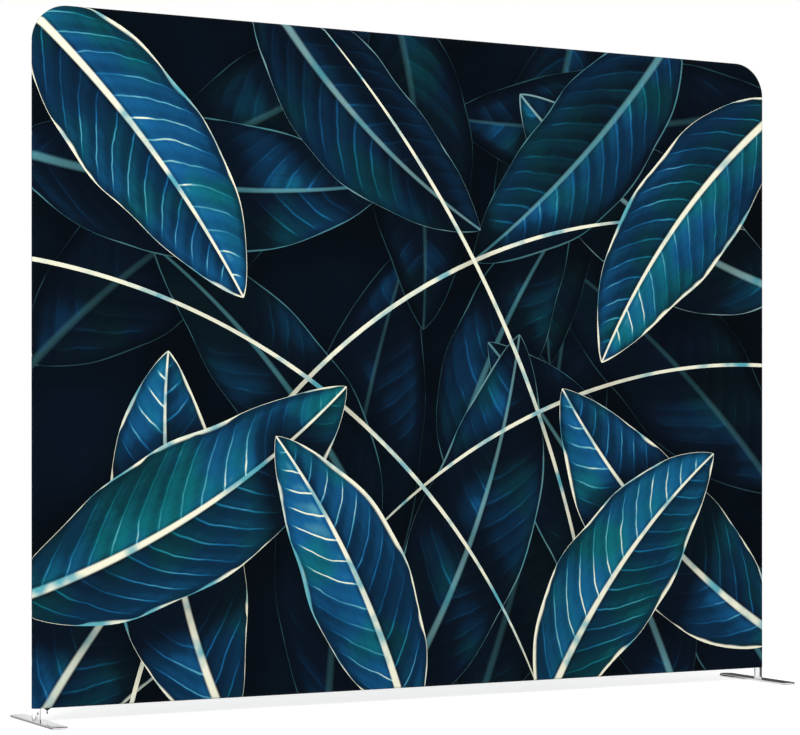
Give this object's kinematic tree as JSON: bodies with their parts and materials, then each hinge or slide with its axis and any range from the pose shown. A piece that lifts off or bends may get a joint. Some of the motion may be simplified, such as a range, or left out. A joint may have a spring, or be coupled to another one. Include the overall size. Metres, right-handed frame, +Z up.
{
  "type": "room divider",
  "caption": "Free-standing cloth room divider: a rounded tube frame on two flat foot plates, inside a taut printed stretch cover that zips shut along its lower edge.",
  "frame": {"origin": "middle of the divider on the floor, under the centre of the panel", "axes": "+X along the width to the right as seen from the front, +Y to the back, +Z up"},
  "size_m": [2.5112, 0.37, 2],
  "materials": {
    "tube": "bright polished, clear anodised",
    "inner_sleeve": "drawn, mill finish",
    "foot_plate": "polished and lacquered",
    "button": "plated",
    "spring_steel": "tempered, plain",
    "rivet": "satin",
    "screw": "zinc plated",
    "pad": "matt",
    "cover": "printed stretch polyester, satin",
    "zip_tape": "woven tape",
    "zip_coil": "moulded coil",
    "zip_metal": "dark nickel"
  },
  "bodies": {
    "root": {"lower_left_upright": "tube", "lower_right_upright": "tube", "upper_left_upright": "tube", "upper_right_upright": "tube", "top_left_tube": "tube", "top_right_tube": "tube", "bottom_left_tube": "tube", "bottom_right_tube": "tube", "left_upright_sleeve": "inner_sleeve", "right_upright_sleeve": "inner_sleeve", "top_left_sleeve": "inner_sleeve", "top_middle_sleeve": "inner_sleeve", "top_right_sleeve": "inner_sleeve", "bottom_middle_sleeve": "inner_sleeve", "left_foot_spigot": "inner_sleeve", "right_foot_spigot": "inner_sleeve", "left_foot_plate": "foot_plate", "right_foot_plate": "foot_plate", "left_foot_spring": "spring_steel", "right_foot_spring": "spring_steel", "left_upright_spring": "spring_steel", "right_upright_spring": "spring_steel", "top_left_spring": "spring_steel", "top_middle_spring": "spring_steel", "top_right_spring": "spring_steel", "bottom_left_spring": "spring_steel", "bottom_middle_spring": "spring_steel", "bottom_right_spring": "spring_steel", "sleeve_rivets": "rivet", "foot_screws": "screw", "foot_pads": "pad", "cover_front": "cover", "cover_back": "cover", "zip_tape_front": "zip_tape", "zip_tape_back": "zip_tape", "zip_coil_front": "zip_coil", "zip_coil_back": "zip_coil", "zip_stops": "zip_metal"},
    "left_foot_button": {"left_foot_button": "button"},
    "right_foot_button": {"right_foot_button": "button"},
    "left_upright_button": {"left_upright_button": "button"},
    "right_upright_button": {"right_upright_button": "button"},
    "top_left_button": {"top_left_button": "button"},
    "top_middle_button": {"top_middle_button": "button"},
    "top_right_button": {"top_right_button": "button"},
    "bottom_left_button": {"bottom_left_button": "button"},
    "bottom_middle_button": {"bottom_middle_button": "button"},
    "bottom_right_button": {"bottom_right_button": "button"},
    "zip_slider": {"zip_slider": "zip_metal"},
    "zip_pull": {"zip_pull": "zip_metal"}
  },
  "joints": [
    {"name": "left_foot_button_press", "type": "slide", "parent": "root", "child": "left_foot_button", "axis": [0, 1, 0], "range_m": [0, 0.0035], "stiffness_N_per_m": 1400, "springref_m": -0.002, "deforming": ["left_foot_spring"]},
    {"name": "right_foot_button_press", "type": "slide", "parent": "root", "child": "right_foot_button", "axis": [0, -1, 0], "range_m": [0, 0.0035], "stiffness_N_per_m": 1400, "springref_m": -0.002, "deforming": ["right_foot_spring"]},
    {"name": "left_upright_button_press", "type": "slide", "parent": "root", "child": "left_upright_button", "axis": [-1, 0, 0], "range_m": [0, 0.0035], "stiffness_N_per_m": 1400, "springref_m": -0.002, "deforming": ["left_upright_spring"]},
    {"name": "right_upright_button_press", "type": "slide", "parent": "root", "child": "right_upright_button", "axis": [1, 0, 0], "range_m": [0, 0.0035], "stiffness_N_per_m": 1400, "springref_m": -0.002, "deforming": ["right_upright_spring"]},
    {"name": "top_left_button_press", "type": "slide", "parent": "root", "child": "top_left_button", "axis": [0, 0, 1], "range_m": [0, 0.0035], "stiffness_N_per_m": 1400, "springref_m": -0.002, "deforming": ["top_left_spring"]},
    {"name": "top_middle_button_press", "type": "slide", "parent": "root", "child": "top_middle_button", "axis": [0, 0, 1], "range_m": [0, 0.0035], "stiffness_N_per_m": 1400, "springref_m": -0.002, "deforming": ["top_middle_spring"]},
    {"name": "top_right_button_press", "type": "slide", "parent": "root", "child": "top_right_button", "axis": [0, 0, 1], "range_m": [0, 0.0035], "stiffness_N_per_m": 1400, "springref_m": -0.002, "deforming": ["top_right_spring"]},
    {"name": "bottom_left_button_press", "type": "slide", "parent": "root", "child": "bottom_left_button", "axis": [0, 0, -1], "range_m": [0, 0.0035], "stiffness_N_per_m": 1400, "springref_m": -0.002, "deforming": ["bottom_left_spring"]},
    {"name": "bottom_middle_button_press", "type": "slide", "parent": "root", "child": "bottom_middle_button", "axis": [0, 0, -1], "range_m": [0, 0.0035], "stiffness_N_per_m": 1400, "springref_m": -0.002, "deforming": ["bottom_middle_spring"]},
    {"name": "bottom_right_button_press", "type": "slide", "parent": "root", "child": "bottom_right_button", "axis": [0, 0, -1], "range_m": [0, 0.0035], "stiffness_N_per_m": 1400, "springref_m": -0.002, "deforming": ["bottom_right_spring"]},
    {"name": "zip_run", "type": "slide", "parent": "root", "child": "zip_slider", "axis": [1, 0, 0], "range_m": [0, 2.409]},
    {"name": "zip_pull_swing", "type": "hinge", "parent": "zip_slider", "child": "zip_pull", "pos_m": [-1.2048, 0, 0.0347], "axis": [0, 1, 0], "range_deg": [-80, 80]}
  ]
}
